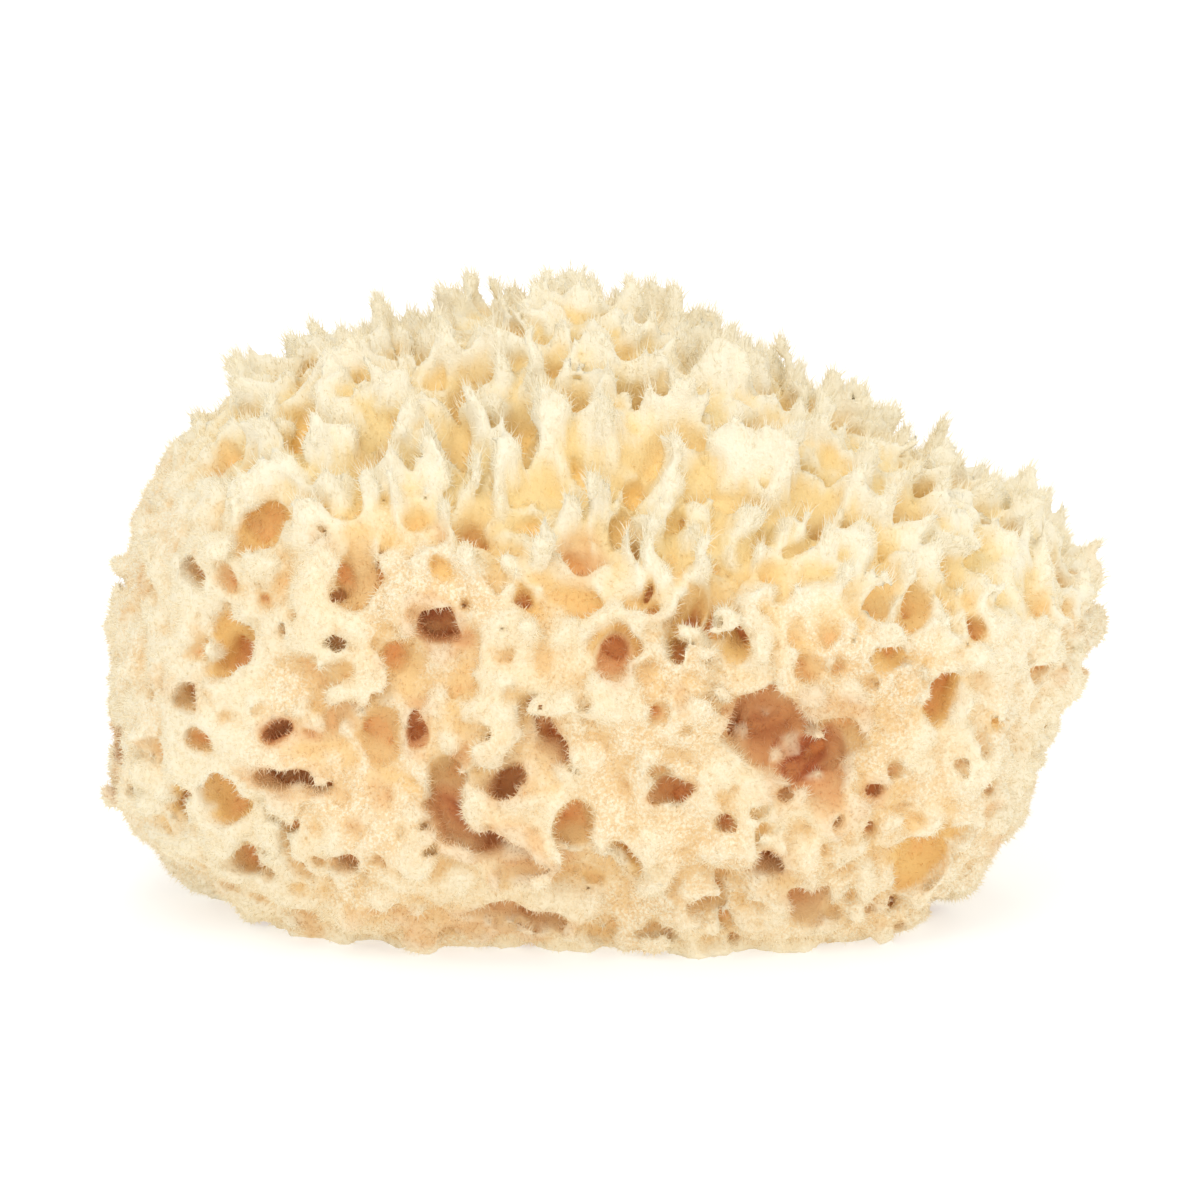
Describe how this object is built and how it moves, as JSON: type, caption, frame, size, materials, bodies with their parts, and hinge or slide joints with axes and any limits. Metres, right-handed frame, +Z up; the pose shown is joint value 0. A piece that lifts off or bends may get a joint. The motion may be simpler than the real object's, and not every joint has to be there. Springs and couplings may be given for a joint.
{
  "type": "natural sea sponge",
  "caption": "Natural sea sponge for the bath: a felted lump with round pores, a crown of pointed fibre tufts with wide canals between them, and a flat cut underneath.",
  "frame": {"origin": "middle of the sponge's box, on the flat cut that it rests on", "axes": "+Z up out of the flat cut, +X along the sponge's width towards the low end of its crown, -Y towards the viewer of the picture"},
  "size_m": [0.1504, 0.1034, 0.0974],
  "materials": {
    "sponge_fibre": "matt, fibrous, cream tips over golden and tan hollows"
  },
  "bodies": {
    "root": {"sponge": "sponge_fibre"}
  },
  "joints": []
}
